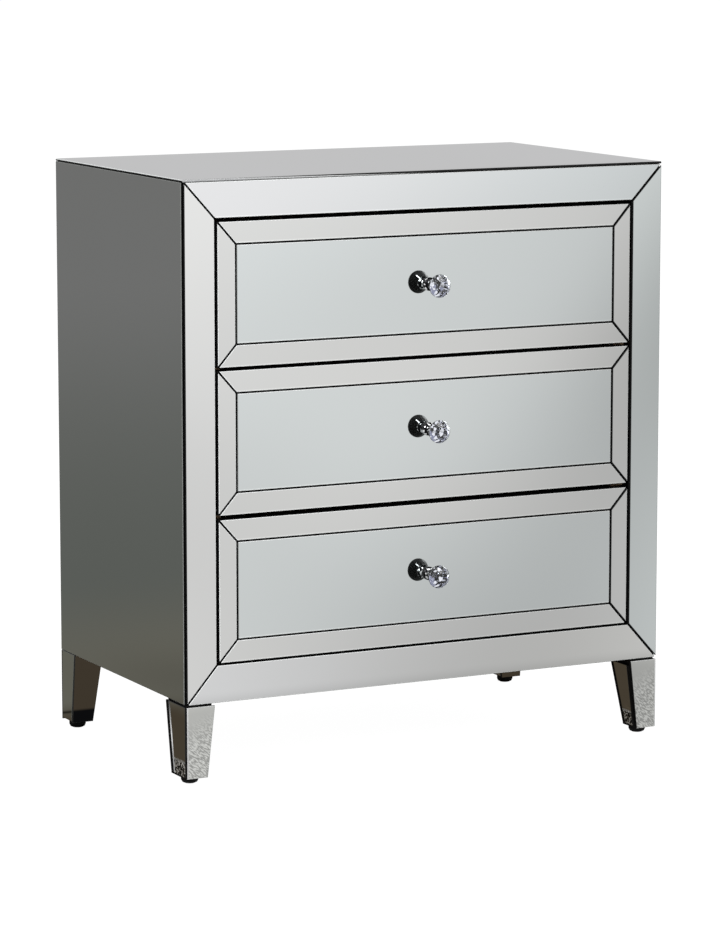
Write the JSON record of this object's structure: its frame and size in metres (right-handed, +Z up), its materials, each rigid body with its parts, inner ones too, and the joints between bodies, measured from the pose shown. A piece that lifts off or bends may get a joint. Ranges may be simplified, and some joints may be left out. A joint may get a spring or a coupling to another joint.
{
  "type": "mirrored dresser",
  "caption": "Low chest of drawers clad in mirror glass, with mitred mirror frames, cut crystal knobs, tapered legs and drawers that slide out.",
  "frame": {"origin": "on the floor, under the middle of the box round the whole chest, knobs included", "axes": "+Z up, -Y out of the drawer fronts, +X to the right of someone who faces them"},
  "size_m": [0.711, 0.4624, 0.7905],
  "materials": {
    "mirror_glass": "silvered float glass, polished, with dark edges",
    "black_paint": "fibreboard painted satin black",
    "runner_wood": "plain planed hardwood",
    "box_wood": "lacquered light plywood",
    "panel_wood": "smooth hardboard",
    "chrome": "polished chrome plate",
    "crystal": "clear cut crystal",
    "black_plastic": "moulded black plastic"
  },
  "bodies": {
    "case": {"left_side_board": "black_paint", "right_side_board": "black_paint", "top_board": "black_paint", "bottom_board": "black_paint", "back_panel": "black_paint", "left_stile": "black_paint", "right_stile": "black_paint", "top_rail": "black_paint", "bottom_rail": "black_paint", "top_glass": "mirror_glass", "left_side_glass": "mirror_glass", "right_side_glass": "mirror_glass", "frame_glass_top": "mirror_glass", "frame_glass_bottom": "mirror_glass", "frame_glass_left": "mirror_glass", "frame_glass_right": "mirror_glass", "leg_front_left": "black_paint", "glide_front_left": "black_plastic", "leg_front_right": "black_paint", "glide_front_right": "black_plastic", "leg_rear_left": "black_paint", "glide_rear_left": "black_plastic", "leg_rear_right": "black_paint", "glide_rear_right": "black_plastic", "top_drawer_runner_left": "runner_wood", "top_drawer_runner_right": "runner_wood", "middle_drawer_runner_left": "runner_wood", "middle_drawer_runner_right": "runner_wood", "bottom_drawer_runner_left": "runner_wood", "bottom_drawer_runner_right": "runner_wood"},
    "top_drawer": {"top_drawer_front_board": "black_paint", "top_drawer_centre_glass": "mirror_glass", "top_drawer_border_glass_top": "mirror_glass", "top_drawer_border_glass_bottom": "mirror_glass", "top_drawer_border_glass_left": "mirror_glass", "top_drawer_border_glass_right": "mirror_glass", "top_drawer_box": "box_wood", "top_drawer_bottom_panel": "panel_wood", "top_drawer_knob_base": "chrome", "top_drawer_knob_crystal": "crystal"},
    "middle_drawer": {"middle_drawer_front_board": "black_paint", "middle_drawer_centre_glass": "mirror_glass", "middle_drawer_border_glass_top": "mirror_glass", "middle_drawer_border_glass_bottom": "mirror_glass", "middle_drawer_border_glass_left": "mirror_glass", "middle_drawer_border_glass_right": "mirror_glass", "middle_drawer_box": "box_wood", "middle_drawer_bottom_panel": "panel_wood", "middle_drawer_knob_base": "chrome", "middle_drawer_knob_crystal": "crystal"},
    "bottom_drawer": {"bottom_drawer_front_board": "black_paint", "bottom_drawer_centre_glass": "mirror_glass", "bottom_drawer_border_glass_top": "mirror_glass", "bottom_drawer_border_glass_bottom": "mirror_glass", "bottom_drawer_border_glass_left": "mirror_glass", "bottom_drawer_border_glass_right": "mirror_glass", "bottom_drawer_box": "box_wood", "bottom_drawer_bottom_panel": "panel_wood", "bottom_drawer_knob_base": "chrome", "bottom_drawer_knob_crystal": "crystal"}
  },
  "joints": [
    {"name": "top_drawer_slide", "type": "slide", "parent": "case", "child": "top_drawer", "axis": [0, -1, 0], "range_m": [0, 0.3]},
    {"name": "middle_drawer_slide", "type": "slide", "parent": "case", "child": "middle_drawer", "axis": [0, -1, 0], "range_m": [0, 0.3]},
    {"name": "bottom_drawer_slide", "type": "slide", "parent": "case", "child": "bottom_drawer", "axis": [0, -1, 0], "range_m": [0, 0.3]}
  ]
}
